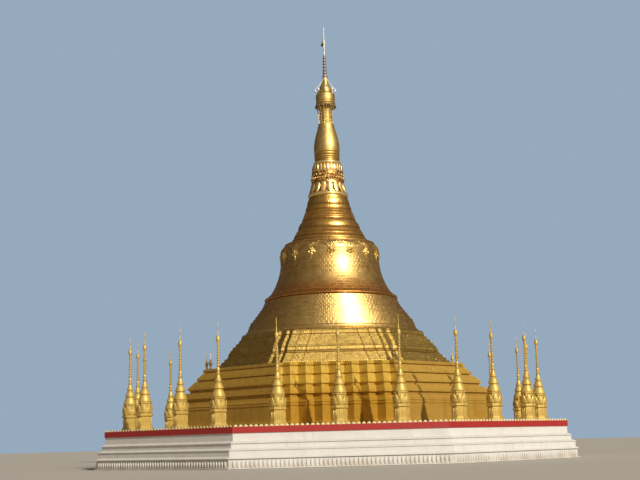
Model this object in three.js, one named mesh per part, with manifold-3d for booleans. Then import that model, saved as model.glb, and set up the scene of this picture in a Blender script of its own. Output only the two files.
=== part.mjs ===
// A gilded stupa on a white octagonal plinth, ringed by twenty-four small stupas.
// Millimetres, +Z up, origin on the ground at the centre of the plinth.
// The front face looks along -Y.

import * as THREE from 'three';
import * as BufferGeometryUtils from 'three/addons/utils/BufferGeometryUtils.js';
import Module from 'manifold-3d';

const wasm = await Module();
wasm.setup();

// Driving dimensions: levels above the ground
const FOOT_TOP = 700;
const LOWER_COURSE_TOP = 1750;
const UPPER_COURSE_TOP = 2470;
const FLOOR_LEVEL = 2900;
const GOLD_BASE_TOP = 5100;
const TERRACE_LOWER_TOP = 6050;
const TERRACE_MIDDLE_TOP = 6850;
const TERRACE_UPPER_TOP = 7850;
const OCTAGON_LOWER_TOP = 8680;
const OCTAGON_MOULDING_TOP = 9400;
const OCTAGON_UPPER_TOP = 10720;
const ROUND_RING_TOP = 11150;
const ROUND_BAND_TOP = 13800;
const BELL_RIM_TOP = 14300;
const BELL_TOP = 17900;
const SHOULDER_TOP = 18900;
const RINGED_CONE_TOP = 22700;
const NECK_TOP = 23500;
const PETALS_DOWN_TOP = 24400;
const BEAD_BAND_TOP = 25300;
const PETALS_UP_TOP = 26450;
const BUD_TOP = 29900;
const COLUMN_TOP = 31300;
const CROWN_RIM_TOP = 32800;
const CROWN_CONE_TOP = 34200;
const VANE_SEAT = 37000;
const TOTAL_HEIGHT = 39000;

// Driving dimensions: distances from the axis to the middle of a flat face
const FOOT_REACH = 19100;
const FOOT_WALL_REACH = 18950;
const LOWER_COURSE_REACH = 18840;
const MIDDLE_COURSE_REACH = 18560;
const UPPER_COURSE_REACH = 18300;
const FLOOR_REACH = 17600;
const GOLD_BASE_REACH = 13200;
const TERRACE_LOWER_FOOT = 12800;
const TERRACE_MIDDLE_FOOT = 12100;
const TERRACE_UPPER_FOOT = 11450;
const TERRACE_TOP_REACH = 10800;

// Zigzag corners of the terraces: teeth of a fixed pitch, cut at right angles
const TOOTH_PITCH = 1187;
const TEETH_EACH_SIDE = 3;
const DIAGONAL_INSET = 170;

// Stepped corners of the octagonal band
const FACE_HALF_WIDTH_RATIO = 0.409;
const CORNER_STEPS = [
  { faceSetback: 0, outset: 0 },
  { faceSetback: 380, outset: 177 },
  { faceSetback: 800, outset: 368 },
];

// Small stupas and corner finials
const SMALL_STUPA_DISTANCE = 16850;
const SMALL_STUPA_SPACING = 4420;
const SMALL_STUPAS_PER_FACE = 3;
const FINIAL_ACROSS = 4500;
const FINIAL_OUT = 10200;

// Finial rod and the vane that turns on it
const ROD_RADIUS = 45;
const VANE_BORE = 52;
const VANE_SLEEVE_RADIUS = 105;
const VANE_SLEEVE_HEIGHT = 850;
const VANE_SEAT_GAP = 0.3;
const VANE_STOP_GAP = 12;
const VANE_HEADING = THREE.MathUtils.degToRad(104);

// How finely round pieces are cut
const ROUND_SIDES = 32;
const SPIRE_SIDES = 20;
const ROD_SIDES = 10;
const OCTAGON_SIDES = 8;
const FINIAL_SIDES = 6;

const FINISHES = {
  whitewash: { color: 0xe9e4da, roughness: 0.8, metalness: 0 },
  redPaint: { color: 0xc0191e, roughness: 0.55, metalness: 0 },
  floorTile: { color: 0xb9a58a, roughness: 0.7, metalness: 0 },
  terraceGold: { color: 0xd9a93f, roughness: 0.42, metalness: 0.8 },
  plateGold: { color: 0xc99a4a, roughness: 0.3, metalness: 1 },
  crownGold: { color: 0xd8b060, roughness: 0.28, metalness: 1 },
  paleMetal: { color: 0xd9d5c8, roughness: 0.3, metalness: 1 },
};

const stupa = new THREE.Group();

function addPiece(name, geometry, finish, parent = stupa) {
  const piece = new THREE.Mesh(geometry, new THREE.MeshStandardMaterial(FINISHES[finish]));
  piece.name = name;
  parent.add(piece);
  return piece;
}

// A turned solid from [radius, level] pairs, first one lowest, closed on the axis
function turned(outline, sides = ROUND_SIDES, startAngle = 0) {
  const points = outline.map(([radius, level]) => new THREE.Vector2(radius, level));
  points.unshift(new THREE.Vector2(0, outline[0][1]));
  points.push(new THREE.Vector2(0, outline[outline.length - 1][1]));
  return new THREE.LatheGeometry(points, sides, startAngle).rotateX(Math.PI / 2);
}

// A solid with equal flat faces: the pairs give the distance to the middle of a face
function faceted(outline, sides, startAngle) {
  const cornerRatio = 1 / Math.cos(Math.PI / sides);
  const corners = outline.map(([reach, level]) => [reach * cornerRatio, level]);
  return turned(corners, sides, startAngle);
}

function octagonal(outline) {
  return faceted(outline, OCTAGON_SIDES, Math.PI / OCTAGON_SIDES);
}

// Square solids whose faces look along the main axes or along the diagonals
function squareOnAxes(outline) {
  return faceted(outline, 4, Math.PI / 4);
}

function squareOnDiagonals(outline) {
  return faceted(outline, 4, 0);
}

function toSolid(geometry) {
  const bare = geometry.clone();
  bare.deleteAttribute('normal');
  bare.deleteAttribute('uv');
  const merged = BufferGeometryUtils.mergeVertices(bare, 0.01);
  const index = merged.getIndex().array;
  const triangles = [];
  for (let i = 0; i < index.length; i += 3) {
    const [a, b, c] = [index[i], index[i + 1], index[i + 2]];
    if (a !== b && b !== c && c !== a) triangles.push(a, b, c);
  }
  const mesh = new wasm.Mesh({
    numProp: 3,
    vertProperties: new Float32Array(merged.getAttribute('position').array),
    triVerts: new Uint32Array(triangles),
  });
  return new wasm.Manifold(mesh);
}

function toGeometry(solid) {
  const mesh = solid.getMesh();
  const geometry = new THREE.BufferGeometry();
  geometry.setAttribute('position', new THREE.BufferAttribute(mesh.vertProperties, 3));
  geometry.setIndex(new THREE.BufferAttribute(mesh.triVerts, 1));
  geometry.computeVertexNormals();
  return geometry;
}

// A terrace whose four corners are cut in right-angled teeth, so that in plan
// it is the union of rectangles that each reach one step further
function zigzagTerrace(outline) {
  const diagonal = Math.SQRT1_2;
  let terrace = null;
  for (let step = -TEETH_EACH_SIDE - 1; step <= TEETH_EACH_SIDE + 1; step += 1) {
    const shift = step * TOOTH_PITCH;
    const reachOf = (reach, side) => Math.min(diagonal * (reach + side * shift), reach - DIAGONAL_INSET);
    const longWay = outline.map(([reach, level]) => [reachOf(reach, 1), level]);
    const shortWay = outline.map(([reach, level]) => [reachOf(reach, -1), level]);
    const alongLong = squareOnAxes(longWay).scale(1, 4, 1);
    const alongShort = squareOnAxes(shortWay).scale(4, 1, 1);
    const block = toSolid(alongLong).intersect(toSolid(alongShort));
    terrace = terrace ? terrace.add(block) : block;
  }
  return toGeometry(terrace).rotateZ(Math.PI / 4);
}

// The octagonal band: three octagons, each reaching further out on the diagonals
// and set back on the main faces, joined into a stepped corner
function steppedOctagon(outline) {
  const diagonalRatio = Math.SQRT1_2 * (1 + FACE_HALF_WIDTH_RATIO);
  let band = null;
  for (const { faceSetback, outset } of CORNER_STEPS) {
    const faces = outline.map(([reach, level]) => [reach - faceSetback, level]);
    const diagonals = outline.map(([reach, level]) => [reach * diagonalRatio + outset, level]);
    const layer = toSolid(squareOnAxes(faces)).intersect(toSolid(squareOnDiagonals(diagonals)));
    band = band ? band.add(layer) : layer;
  }
  return toGeometry(band);
}

// Plinth
addPiece('plinth_foot', octagonal([
  [FOOT_REACH, 0],
  [FOOT_REACH, 90],
  [FOOT_WALL_REACH, 100],
  [FOOT_WALL_REACH, FOOT_TOP],
]), 'whitewash');
addPiece('plinth_lower_course', octagonal([
  [LOWER_COURSE_REACH + 240, FOOT_TOP],
  [LOWER_COURSE_REACH + 240, FOOT_TOP + 40],
  [LOWER_COURSE_REACH, 870],
  [LOWER_COURSE_REACH, 1260],
  [LOWER_COURSE_REACH + 60, 1265],
  [LOWER_COURSE_REACH + 60, 1300],
  [MIDDLE_COURSE_REACH, 1430],
  [MIDDLE_COURSE_REACH, LOWER_COURSE_TOP],
]), 'whitewash');
addPiece('plinth_upper_course', octagonal([
  [MIDDLE_COURSE_REACH + 80, LOWER_COURSE_TOP],
  [MIDDLE_COURSE_REACH + 80, LOWER_COURSE_TOP + 40],
  [UPPER_COURSE_REACH, 1930],
  [UPPER_COURSE_REACH, UPPER_COURSE_TOP],
]), 'whitewash');

function redBand() {
  const corner = 1 / Math.cos(Math.PI / OCTAGON_SIDES);
  const outline = [
    [FLOOR_REACH, UPPER_COURSE_TOP],
    [UPPER_COURSE_REACH + 70, UPPER_COURSE_TOP],
    [UPPER_COURSE_REACH + 70, FLOOR_LEVEL],
    [FLOOR_REACH, FLOOR_LEVEL],
    [FLOOR_REACH, UPPER_COURSE_TOP],
  ].map(([reach, level]) => new THREE.Vector2(reach * corner, level));
  return new THREE.LatheGeometry(outline, OCTAGON_SIDES, Math.PI / OCTAGON_SIDES).rotateX(Math.PI / 2);
}
addPiece('red_band', redBand(), 'redPaint');
addPiece('platform_floor', octagonal([
  [FLOOR_REACH, UPPER_COURSE_TOP],
  [FLOOR_REACH, FLOOR_LEVEL],
]), 'floorTile');

// Gold base and the three zigzag terraces, each a plain slope over a groove
addPiece('gold_base', zigzagTerrace([
  [GOLD_BASE_REACH + 250, FLOOR_LEVEL],
  [GOLD_BASE_REACH, 3500],
  [GOLD_BASE_REACH, 4700],
  [TERRACE_LOWER_FOOT, GOLD_BASE_TOP],
]), 'terraceGold');
const GROOVE_DEPTH = 80;
const GROOVE_HEIGHT = 100;
function slope(footReach, topReach, bottom, top) {
  return [
    [footReach - GROOVE_DEPTH, bottom],
    [footReach - GROOVE_DEPTH, bottom + GROOVE_HEIGHT - 10],
    [footReach, bottom + GROOVE_HEIGHT],
    [topReach, top],
  ];
}
addPiece('terrace_lower', zigzagTerrace(
  slope(TERRACE_LOWER_FOOT, TERRACE_MIDDLE_FOOT + 40, GOLD_BASE_TOP, TERRACE_LOWER_TOP),
), 'terraceGold');
addPiece('terrace_middle', zigzagTerrace(
  slope(TERRACE_MIDDLE_FOOT, TERRACE_UPPER_FOOT + 40, TERRACE_LOWER_TOP, TERRACE_MIDDLE_TOP),
), 'terraceGold');
const LIP_BOTTOM = 7620;
const LIP_DEPTH = 100;
addPiece('terrace_upper', zigzagTerrace([
  ...slope(TERRACE_UPPER_FOOT, TERRACE_TOP_REACH + 40, TERRACE_MIDDLE_TOP, LIP_BOTTOM - 80),
  [TERRACE_TOP_REACH, LIP_BOTTOM - 70],
  [TERRACE_TOP_REACH, LIP_BOTTOM - 10],
  [TERRACE_TOP_REACH + LIP_DEPTH, LIP_BOTTOM],
  [TERRACE_TOP_REACH + LIP_DEPTH, TERRACE_UPPER_TOP],
]), 'terraceGold');

// Octagonal band with stepped corners
addPiece('octagon_lower', steppedOctagon([
  [9850, TERRACE_UPPER_TOP],
  [9020, OCTAGON_LOWER_TOP],
]), 'plateGold');
addPiece('octagon_moulding', steppedOctagon([
  [8980, OCTAGON_LOWER_TOP],
  [8930, 8900],
  [8860, 8940],
  [8860, 9170],
  [8760, 9200],
  [8650, OCTAGON_MOULDING_TOP],
]), 'plateGold');
addPiece('octagon_upper', steppedOctagon([
  [8620, OCTAGON_MOULDING_TOP],
  [7820, 10200],
  [7820, 10300],
  [7720, 10340],
  [7640, OCTAGON_UPPER_TOP],
]), 'plateGold');

// Round base of the bell
addPiece('round_ring', turned([
  [7480, OCTAGON_UPPER_TOP],
  [7450, 11050],
  [7350, ROUND_RING_TOP],
]), 'plateGold');
addPiece('round_band', turned([
  [7330, ROUND_RING_TOP],
  [7170, 11600],
  [6850, 11980],
  [6350, 12640],
  [6040, 13060],
  [5700, ROUND_BAND_TOP],
]), 'plateGold');

// Bell
addPiece('bell_rim', turned([
  [5720, ROUND_BAND_TOP],
  [5790, 13860],
  [5780, 14040],
  [5660, 14120],
  [5380, BELL_RIM_TOP],
]), 'plateGold');
addPiece('bell_body', turned([
  [5330, BELL_RIM_TOP],
  [5060, 14730],
  [4850, 15120],
  [4680, 15530],
  [4540, 15980],
  [4420, 16600],
  [4340, 17300],
  [4300, BELL_TOP],
]), 'plateGold');
addPiece('bell_shoulder', turned([
  [4300, BELL_TOP],
  [4180, 18250],
  [4020, 18550],
  [3760, 18800],
  [3500, SHOULDER_TOP],
]), 'plateGold');

// Ringed cone: each ring bulges a little over the one above
function ringedCone() {
  const rings = 7;
  const lowRadius = 3420;
  const highRadius = 1820;
  const ringHeight = (RINGED_CONE_TOP - SHOULDER_TOP) / rings;
  const radiusAt = (level) => {
    const t = (level - SHOULDER_TOP) / (RINGED_CONE_TOP - SHOULDER_TOP);
    return highRadius + (lowRadius - highRadius) * (1 - t) ** 1.45;
  };
  const outline = [];
  for (let ring = 0; ring < rings; ring += 1) {
    const bottom = SHOULDER_TOP + ring * ringHeight;
    const top = bottom + ringHeight;
    outline.push([radiusAt(bottom) - 30, bottom]);
    outline.push([radiusAt(top) + 60, top - 110]);
  }
  outline.push([highRadius - 30, RINGED_CONE_TOP]);
  return turned(outline, ROUND_SIDES);
}
addPiece('ringed_cone', ringedCone(), 'plateGold');

// Lotus mouldings of the spire
addPiece('neck_band', turned([
  [1800, RINGED_CONE_TOP],
  [1790, 22880],
  [1850, 23000],
  [1850, 23250],
  [1800, NECK_TOP],
], SPIRE_SIDES), 'plateGold');
addPiece('lotus_petals_down', turned([
  [1810, NECK_TOP],
  [1870, 23620],
  [1750, 24000],
  [1640, PETALS_DOWN_TOP],
], SPIRE_SIDES), 'plateGold');
addPiece('lotus_bead_band', turned([
  [1680, PETALS_DOWN_TOP],
  [1660, 24680],
  [1570, 24780],
  [1550, 25100],
  [1560, BEAD_BAND_TOP],
], SPIRE_SIDES), 'plateGold');
addPiece('lotus_petals_up', turned([
  [1460, BEAD_BAND_TOP],
  [1550, 25800],
  [1460, 26000],
  [1460, 26200],
  [1340, PETALS_UP_TOP],
], SPIRE_SIDES), 'plateGold');

// Bud, and the column and crown above it
addPiece('bud', turned([
  [1130, PETALS_UP_TOP],
  [1090, 27000],
  [1150, 27300],
  [1125, 27700],
  [1060, 28000],
  [930, 28370],
  [780, 28760],
  [680, 29300],
  [600, BUD_TOP],
], SPIRE_SIDES), 'crownGold');
addPiece('crown_column', turned([
  [560, BUD_TOP],
  [540, COLUMN_TOP],
], SPIRE_SIDES), 'crownGold');
addPiece('crown_rim', turned([
  [850, COLUMN_TOP],
  [880, 31720],
  [840, 32200],
  [760, 32500],
  [740, 32680],
  [660, CROWN_RIM_TOP],
], SPIRE_SIDES), 'crownGold');
addPiece('crown_cone', turned([
  [640, CROWN_RIM_TOP],
  [560, 33200],
  [390, 33550],
  [250, 33950],
  [170, CROWN_CONE_TOP],
], SPIRE_SIDES), 'crownGold');

// Rod with its rings, the stop above the vane and the bud at the tip
const vaneStop = VANE_SEAT + VANE_SLEEVE_HEIGHT + VANE_STOP_GAP;
function finialRod() {
  const outline = [[230, CROWN_CONE_TOP], [230, 34380]];
  for (const level of [34600, 35000, 35400, 35800]) {
    outline.push([110, level], [190, level + 130]);
  }
  outline.push([110, 36300], [110, VANE_SEAT], [ROD_RADIUS, VANE_SEAT]);
  outline.push([ROD_RADIUS, vaneStop], [90, vaneStop + 30]);
  outline.push([ROD_RADIUS, vaneStop + 100], [ROD_RADIUS, 38640], [120, 38800]);
  outline.push([15, TOTAL_HEIGHT]);
  return turned(outline, ROD_SIDES);
}
addPiece('finial_rod', finialRod(), 'crownGold');

// The vane: a sleeve on the rod with a pennant fixed to its side
function vane() {
  const low = VANE_SEAT + VANE_SEAT_GAP;
  const high = VANE_SEAT + VANE_SLEEVE_HEIGHT;
  const outline = [
    [VANE_BORE, low],
    [VANE_SLEEVE_RADIUS, low],
    [VANE_SLEEVE_RADIUS, high],
    [VANE_BORE, high],
    [VANE_BORE, low],
  ].map(([radius, level]) => new THREE.Vector2(radius, level));
  const sleeve = new THREE.LatheGeometry(outline, ROD_SIDES).rotateX(Math.PI / 2);
  const flagThickness = 30;
  const flag = new THREE.Shape();
  flag.moveTo(VANE_SLEEVE_RADIUS - 15, 230);
  flag.lineTo(620, 310);
  flag.lineTo(980, 500);
  flag.lineTo(620, 640);
  flag.lineTo(VANE_SLEEVE_RADIUS - 15, 780);
  const plate = new THREE.ExtrudeGeometry(flag, { depth: flagThickness, bevelEnabled: false });
  plate.translate(0, 0, -flagThickness / 2);
  plate.rotateX(Math.PI / 2);
  plate.translate(0, 0, VANE_SEAT);
  return toGeometry(toSolid(sleeve).add(toSolid(plate))).rotateZ(VANE_HEADING);
}
addPiece('vane', vane(), 'paleMetal');

// Finials on the upper terrace, one at each end of each diagonal face
function cornerFinial() {
  return turned([
    [175, 0],
    [80, 140],
    [80, 320],
    [165, 500],
    [45, 800],
    [15, 1330],
  ], FINIAL_SIDES);
}
let finialNumber = 0;
for (let side = 0; side < 4; side += 1) {
  for (const hand of [-1, 1]) {
    finialNumber += 1;
    const finial = addPiece(`corner_finial_${finialNumber}`, cornerFinial(), 'terraceGold');
    const place = new THREE.Vector3(hand * FINIAL_ACROSS, -FINIAL_OUT, TERRACE_UPPER_TOP);
    finial.position.copy(place.applyAxisAngle(new THREE.Vector3(0, 0, 1), side * Math.PI / 2));
  }
}

// Small stupas: a stepped octagonal base, a bell and a ringed spire
function smallStupa() {
  return octagonal([
    [700, 0],
    [600, 300],
    [600, 1550],
    [560, 2250],
    [500, 2400],
    [500, 2560],
    [480, 2650],
    [350, 3350],
    [330, 3450],
    [250, 4000],
    [240, 4050],
    [140, 4750],
    [110, 6300],
    [170, 6550],
    [50, 6800],
    [15, 7800],
  ]);
}
for (let face = 0; face < OCTAGON_SIDES; face += 1) {
  const row = new THREE.Group();
  row.rotation.z = face * Math.PI / 4;
  stupa.add(row);
  for (let place = 0; place < SMALL_STUPAS_PER_FACE; place += 1) {
    const number = String(face * SMALL_STUPAS_PER_FACE + place + 1).padStart(2, '0');
    const small = addPiece(`small_stupa_${number}`, smallStupa(), 'terraceGold', row);
    small.position.set((place - 1) * SMALL_STUPA_SPACING, -SMALL_STUPA_DISTANCE, FLOOR_LEVEL);
  }
}

export default stupa;
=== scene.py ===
import math

import bpy
import numpy as np
from mathutils import Matrix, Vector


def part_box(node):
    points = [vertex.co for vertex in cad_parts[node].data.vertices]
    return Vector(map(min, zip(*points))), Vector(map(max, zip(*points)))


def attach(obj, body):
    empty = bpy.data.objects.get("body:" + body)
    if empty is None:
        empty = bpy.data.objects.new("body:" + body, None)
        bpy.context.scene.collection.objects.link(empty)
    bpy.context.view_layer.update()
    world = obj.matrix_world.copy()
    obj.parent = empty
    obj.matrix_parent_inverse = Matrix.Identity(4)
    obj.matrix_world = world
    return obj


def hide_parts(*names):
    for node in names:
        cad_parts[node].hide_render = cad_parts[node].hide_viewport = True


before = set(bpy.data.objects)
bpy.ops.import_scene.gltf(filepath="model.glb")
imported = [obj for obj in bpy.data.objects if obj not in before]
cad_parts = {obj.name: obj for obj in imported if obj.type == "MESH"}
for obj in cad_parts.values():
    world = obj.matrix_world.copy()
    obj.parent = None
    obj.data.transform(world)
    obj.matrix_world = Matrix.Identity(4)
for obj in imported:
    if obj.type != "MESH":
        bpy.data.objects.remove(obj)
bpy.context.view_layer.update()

BOX = {name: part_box(name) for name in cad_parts}

# Driving sizes of the masonry and its trim: metres, but for a ratio, shares of a plate, the count
# of teeth, and leans, which are metres in for each metre up
PLATE_WIDTH = 0.34
COURSE_HEIGHT = 0.27
SEAM_SHARE_ACROSS = 0.045
SEAM_SHARE_UP = 0.07
RISER_LEAN = 0.22
PANEL_LEAN = 0.40
TIER_COURSE = 0.16
TIER_LEAN = 0.30
TOOTH_PITCH = 1.187
TEETH_EACH_SIDE = 3
DIAGONAL_INSET = 0.17
FACE_HALF_WIDTH_RATIO = 0.409
CORNER_SETBACKS = np.array([0.14, 0.38, 0.80])
CORNER_OUTSETS = np.array([0.0, 0.177, 0.368])
PANEL_GROOVE_HALF_WIDTH = 0.04
PANEL_GROOVE_DEPTH = 0.12
POST_PITCH = 0.30
PETAL_TIP_PITCH = 0.36
DENTIL_PITCH = 0.18
DENTIL_END_GAP = 0.12
FLOOR_TILE = 0.40
UPPER_TORUS_LEVEL = 26.13

# The steps of a front panel: how far in from its edge each one starts, and its depth
PANEL_STEPS = [(1.48, 0.0), (0.60, 0.07)]

# The shoulder's swags: their lowest and highest levels, and the collar's upper edge
SWAG_FOOT = 17.56
SWAG_CREST = 18.36
COLLAR_HEAD = 18.60
PENDANTS = 16

# How far the flares bend: powers of the share of height
BELL_FLARE = 2.4
SHOULDER_ROUND = 2.5
SWAG_ARCH = 2.6
CONE_FLARE = 1.45

# Trim that is counted round the axis
HANGING_PETALS = 16
RISING_PETALS = 24
LOTUS_BEADS = 36
LOTUS_STUDS = 24
FRINGE_BELLS = 24
CROWN_CHAINS = 14
ROD_RINGS = 6
SPIRE_RINGS = 7

# How finely round pieces are cut, and the angle past which an edge is sharp
BELL_SIDES = 240
SPIRE_SIDES = 144
CROWN_SIDES = 96
CONE_SIDES = 72
HOOP_SIDES = 72
ROD_SIDES = 24
TIP_SIDES = 20
FINIAL_SIDES = 16
SPIKE_SIDES = 10
DROP_SIDES = 8
SHARP_ANGLE = math.radians(32)

# The photograph's camera: it stands in front and a little to the left, at eye height
CAMERA_DISTANCE = 100.0
CAMERA_BEARING = math.radians(1.4)
CAMERA_HEIGHT = 1.68
CAMERA_HEADING = math.radians(0.92957)
CAMERA_PITCH = math.radians(9.97805)
CAMERA_ROLL = math.radians(-1.50558)
FOCAL_PIXELS = 1150.0
PICTURE_WIDTH_PIXELS = 640
SENSOR_WIDTH_MM = 36.0

SUN_BEARING = math.radians(31.0)
SUN_HEIGHT = math.radians(28.5)
SUN_STRENGTH = 4.0
SUN_SPREAD = math.radians(2.0)
SUN_DISTANCE = 60.0
FLOOR_HALF_WIDTH = 600.0
FLOOR_LEVEL = -0.02


def bottom(node):
    return BOX[node][0].z


def top(node):
    return BOX[node][1].z


def reach(node):
    return BOX[node][1].x


def foot_of(node):
    """The middle of a node's lowest side."""
    low, high = BOX[node]
    return np.array([(low.x + high.x) / 2, (low.y + high.y) / 2, low.z])


def evenly(count):
    """Angles that share out a full turn."""
    return np.arange(count) * 2 * np.pi / count


EIGHT_FACES = evenly(8)
FOUR_FACES = evenly(4)


class Shell:
    """A surface: its points, its faces of three or four corners (-1 stands for a missing fourth)
    and the pattern coordinate, counted in plates, of every corner of every face."""

    def __init__(self, points, faces, pattern):
        self.points = np.asarray(points, float).reshape(-1, 3)
        self.faces = np.asarray(faces, int).reshape(-1, 4)
        self.pattern = pattern

    def shaped(self, change):
        """The same surface after change(points)."""
        return Shell(change(self.points), self.faces, self.pattern)

    def moved(self, x, y, z):
        return self.shaped(lambda p: p + np.array([x, y, z]))

    def drooping(self):
        """A petal turned to hang down from the origin, still facing +X."""
        return self.shaped(lambda p: p * np.array([1, -1, -1]))


def joined(*shells):
    """Several surfaces as one."""
    starts = np.cumsum([0] + [len(s.points) for s in shells[:-1]])
    return Shell(
        np.concatenate([s.points for s in shells]),
        np.concatenate([np.where(s.faces < 0, -1, s.faces + n) for s, n in zip(shells, starts)]),
        np.concatenate([s.pattern for s in shells]),
    )


def copies(shell, turns, places):
    """One copy of a surface for each turn (3 by 3 matrix) and place: point' = turn point + place.
    The pattern of each lies seven plates from the last one's."""
    points = np.einsum("mij,nj->mni", turns, shell.points) + places[:, None, :]
    step = np.arange(len(turns))[:, None, None] * len(shell.points)
    faces = np.where(shell.faces < 0, -1, shell.faces[None] + step)
    pattern = shell.pattern[None] + np.arange(len(turns))[:, None, None, None] * 7.0
    return Shell(points, faces, pattern.reshape(-1, 4, 2))


def turned_by(angles):
    """Turns about the vertical axis, one matrix for each angle."""
    c, s = np.cos(angles), np.sin(angles)
    zero, one = np.zeros_like(c), np.ones_like(c)
    return np.stack([c, -s, zero, s, c, zero, zero, zero, one], -1).reshape(-1, 3, 3)


def around(shell, angles):
    """Copies of a surface turned about the stupa's axis."""
    return copies(shell, turned_by(angles), np.zeros((len(angles), 3)))


def ring_of(shell, radius, level, count, start=0.0):
    """Copies of a surface set round the axis at a radius and level."""
    return around(shell.moved(radius, 0.0, level), start + evenly(count))


def row_of(shell, distance, across, level):
    """Copies of a surface in a row on a face, at its distance from the axis and at each place
    across it."""
    count = len(across)
    spots = np.stack([np.broadcast_to(distance, count), across, np.full(count, level)], -1)
    return copies(shell, np.broadcast_to(np.eye(3), (count, 3, 3)), spots)


def spaced(width, pitch):
    """Places a pitch apart, as many as a width holds, with their middle at zero."""
    count = int(width / pitch)
    return (np.arange(count) - (count - 1) / 2) * pitch


def row_on_faces(shell, distance, level, pitch, clear=0.0):
    """A row along each of the eight faces: half a face is distance tan(22.5 degrees) long, and the
    row stays clear of its ends."""
    across = spaced(2 * (distance * math.tan(math.pi / 8) - clear), pitch)
    return around(row_of(shell, distance, across, level), EIGHT_FACES)


def woven(points, u=None, v=None, ends=True):
    """Faces between neighbours of a grid of points[row, column], the last column next to the
    first. Each end row is closed by triangles that meet at its middle, unless ends is false."""
    rows, columns = points.shape[:2]
    i, j = np.meshgrid(np.arange(rows - 1), np.arange(columns), indexing="ij")
    k = (j + 1) % columns
    faces = np.stack([i * columns + j, i * columns + k, (i + 1) * columns + k, (i + 1) * columns + j], -1)
    u = np.linspace(0, 1, columns + 1) if u is None else u
    v = np.linspace(0, 1, rows) if v is None else v
    across = np.stack([u[j], u[j + 1], u[j + 1], u[j]], -1)
    up = np.stack([v[i], v[i], v[i + 1], v[i + 1]], -1)
    shell = Shell(points, faces, np.stack([across, up], -1).reshape(-1, 4, 2))
    if not ends:
        return shell
    for row, order in ((0, -1), (rows - 1, 1)):
        rim = row * columns + np.arange(columns)[::order]
        middle = np.full(columns, len(shell.points))
        fan = np.stack([rim, np.roll(rim, -1), middle, np.full(columns, -1)], -1)
        shell = Shell(
            np.concatenate([shell.points, points[row].mean(0)[None]]),
            np.concatenate([shell.faces, fan]),
            np.concatenate([shell.pattern, np.zeros((columns, 4, 2))]),
        )
    return shell


def welded(shell):
    """The same surface with points that lie in one place made one point."""
    _, kept, same = np.unique(np.round(shell.points, 6), axis=0, return_index=True, return_inverse=True)
    faces = np.where(shell.faces < 0, -1, same.reshape(-1)[shell.faces])
    return Shell(shell.points[kept], faces, shell.pattern)


def outline(*marks, steps=7):
    """Radius and level along a profile. A mark is (radius, level) or (radius, level, bulge): the
    stretch up to it is a parabola that stands bulge times its length outside the chord."""
    pieces = [np.array([marks[0][:2]], float)]
    for before, mark in zip(marks, marks[1:]):
        start, end = np.array(before[:2], float), np.array(mark[:2], float)
        bulge = mark[2] if len(mark) > 2 else 0.0
        s = np.linspace(0, 1, steps if bulge else 2)[1:, None]
        outward = np.array([end[1] - start[1], start[0] - end[0]])
        pieces.append(start + (end - start) * s + outward * 4 * s * (1 - s) * bulge)
    return np.concatenate(pieces)


def by_share(node, *marks):
    """An outline whose marks are (inset from the node's reach, share of its height, bulge)."""
    high, low, wide = top(node), bottom(node), reach(node)
    return outline(*[(wide - m[0], low + (high - low) * m[1], *m[2:]) for m in marks])


def by_rise(node, *marks):
    """An outline whose marks are (inset from the node's reach, metres above its foot, bulge)."""
    low, wide = bottom(node), reach(node)
    return outline(*[(wide - m[0], low + m[1], *m[2:]) for m in marks])


def height(node):
    return top(node) - bottom(node)


def coursed(envelope, rise=COURSE_HEIGHT, lean=RISER_LEAN):
    """Steps inside an envelope of radius and level: each course starts on the envelope, goes up
    leaning in by lean for each unit of height, and ends in a level tread that leads back to it."""
    low, high = envelope[0, 1], envelope[-1, 1]
    count = max(1, round((high - low) / rise))
    level = np.linspace(low, high, count + 1)
    radius = np.interp(level, envelope[:, 1], envelope[:, 0])
    head = np.maximum(radius[:-1] - lean * (high - low) / count, radius[1:])
    steps = np.stack([np.stack([radius[:-1], level[:-1]], -1), np.stack([head, level[1:]], -1)], 1)
    return np.concatenate([steps.reshape(-1, 2), [[radius[-1], level[-1]]]])


def along(points):
    """Length along a row of points, from its start."""
    return np.concatenate([[0.0], np.cumsum(np.linalg.norm(np.diff(points, axis=0), axis=1))])


def turned(profile, sides, hollow=False):
    """A profile turned about the axis: radius r and level z give (r cos t, r sin t, z) at angle t.
    The profile of a hollow piece goes up its outside and down its inside, back to its start."""
    angle = evenly(sides)
    radius = profile[:, :1]
    level = np.broadcast_to(profile[:, 1:], (len(profile), sides))
    points = np.stack([radius * np.cos(angle), radius * np.sin(angle), level], -1)
    count = max(8, round(2 * np.pi * profile[:, 0].mean() / PLATE_WIDTH))
    u, v = np.linspace(0, count, sides + 1), along(profile) / COURSE_HEIGHT
    return welded(woven(points, u, v, ends=False)) if hollow else woven(points, u, v)


def swept(plan, profile, plate=PLATE_WIDTH, course=COURSE_HEIGHT):
    """A profile carried round a plan: plan(reach) gives the corners at that distance of the faces."""
    corners = plan(profile[:, 0])
    level = np.broadcast_to(profile[:, 1][:, None], corners.shape[:2])
    points = np.concatenate([corners, level[..., None]], -1)
    widest = corners[np.argmax(profile[:, 0])]
    u = along(np.concatenate([widest, widest[:1]])) / plate
    return woven(points, u, along(profile) / course)


def quarters(quarter):
    """A plan made of four quarters, each turned by a right angle: quarter is [row, corner, xy]."""
    x, y = quarter[..., 0], quarter[..., 1]
    turns = [np.stack(pair, -1) for pair in ((x, y), (-y, x), (-x, -y), (y, -x))]
    return np.concatenate(turns, 1)


def octagon(reaches):
    """Eight equal faces: the corners lie at reach / cos(22.5 degrees)."""
    angle = np.radians(22.5 + 45 * np.arange(8))
    corner = reaches[:, None] / np.cos(np.pi / 8)
    return np.stack([corner * np.cos(angle), corner * np.sin(angle)], -1)


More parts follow.
